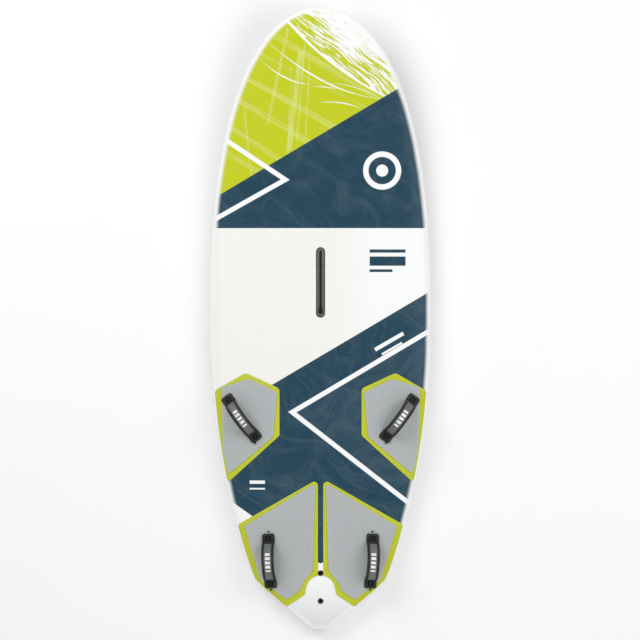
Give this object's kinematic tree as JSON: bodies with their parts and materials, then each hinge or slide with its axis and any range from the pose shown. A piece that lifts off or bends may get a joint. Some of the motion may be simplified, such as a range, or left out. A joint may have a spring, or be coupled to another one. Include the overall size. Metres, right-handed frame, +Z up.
{
  "type": "windsurf board",
  "caption": "Wide wind-foil sailboard with a domed deck, mast track, foil box, textured deck pads and arched footstraps that flex sideways.",
  "frame": {"origin": "middle of the length and width, on the plane of the flat bottom that the board rests on", "axes": "+Y towards the nose, +X to starboard, +Z up from the deck"},
  "size_m": [0.81, 2.28, 0.1997],
  "materials": {
    "deck_laminate": "satin",
    "bottom_laminate": "gloss",
    "core_foam": "matte",
    "dense_foam": "matte",
    "box_plastic": "satin",
    "pad_lime": "matte",
    "pad_grey": "matte",
    "webbing": "matte",
    "strap_foam": "matte",
    "strap_cover": "matte",
    "strap_patch": "matte",
    "cap_rubber": "satin",
    "black_steel": "satin",
    "insert_plastic": "matte",
    "vent_plastic": "satin",
    "seal_rubber": "satin"
  },
  "bodies": {
    "board": {"deck_shell": "deck_laminate", "bottom_shell": "bottom_laminate", "foam_core": "core_foam", "mast_track_box": "box_plastic", "mast_track_block": "dense_foam", "foil_box": "box_plastic", "foil_box_block": "dense_foam", "foil_bolt_sleeves": "box_plastic", "front_left_pad_base": "pad_lime", "front_left_pad_top": "pad_grey", "front_right_pad_base": "pad_lime", "front_right_pad_top": "pad_grey", "rear_left_pad_base": "pad_lime", "rear_left_pad_top": "pad_grey", "rear_right_pad_base": "pad_lime", "rear_right_pad_top": "pad_grey", "front_left_strap_webbing": "webbing", "front_left_strap_end_caps": "cap_rubber", "front_left_strap_plates": "black_steel", "front_left_strap_screws": "black_steel", "front_left_strap_inserts": "insert_plastic", "front_right_strap_webbing": "webbing", "front_right_strap_end_caps": "cap_rubber", "front_right_strap_plates": "black_steel", "front_right_strap_screws": "black_steel", "front_right_strap_inserts": "insert_plastic", "rear_left_strap_webbing": "webbing", "rear_left_strap_end_caps": "cap_rubber", "rear_left_strap_plates": "black_steel", "rear_left_strap_screws": "black_steel", "rear_left_strap_inserts": "insert_plastic", "rear_right_strap_webbing": "webbing", "rear_right_strap_end_caps": "cap_rubber", "rear_right_strap_plates": "black_steel", "rear_right_strap_screws": "black_steel", "rear_right_strap_inserts": "insert_plastic", "vent_seat": "vent_plastic", "vent_plug": "vent_plastic", "vent_seal": "seal_rubber"},
    "front_left_strap": {"front_left_strap_padding": "strap_foam", "front_left_strap_cover": "strap_cover", "front_left_strap_patch": "strap_patch"},
    "front_right_strap": {"front_right_strap_padding": "strap_foam", "front_right_strap_cover": "strap_cover", "front_right_strap_patch": "strap_patch"},
    "rear_left_strap": {"rear_left_strap_padding": "strap_foam", "rear_left_strap_cover": "strap_cover", "rear_left_strap_patch": "strap_patch"},
    "rear_right_strap": {"rear_right_strap_padding": "strap_foam", "rear_right_strap_cover": "strap_cover", "rear_right_strap_patch": "strap_patch"}
  },
  "joints": [
    {"name": "front_left_strap_lean", "type": "hinge", "parent": "board", "child": "front_left_strap", "pos_m": [-0.28926, -0.36312, 0.10713], "axis": [-0.5914, 0.8051, -0.0451], "range_deg": [-20, 20], "stiffness_Nm_per_rad": 0.8, "deforming": ["front_left_strap_webbing"]},
    {"name": "front_right_strap_lean", "type": "hinge", "parent": "board", "child": "front_right_strap", "pos_m": [0.28926, -0.36312, 0.10713], "axis": [0.5914, 0.8051, -0.0451], "range_deg": [-20, 20], "stiffness_Nm_per_rad": 0.8, "deforming": ["front_right_strap_webbing"]},
    {"name": "rear_left_strap_lean", "type": "hinge", "parent": "board", "child": "rear_left_strap", "pos_m": [-0.187, -0.88726, 0.09789], "axis": [-0.0505, 0.9967, 0.0639], "range_deg": [-20, 20], "stiffness_Nm_per_rad": 0.8, "deforming": ["rear_left_strap_webbing"]},
    {"name": "rear_right_strap_lean", "type": "hinge", "parent": "board", "child": "rear_right_strap", "pos_m": [0.187, -0.88726, 0.09789], "axis": [0.0505, 0.9967, 0.0639], "range_deg": [-20, 20], "stiffness_Nm_per_rad": 0.8, "deforming": ["rear_right_strap_webbing"]}
  ]
}
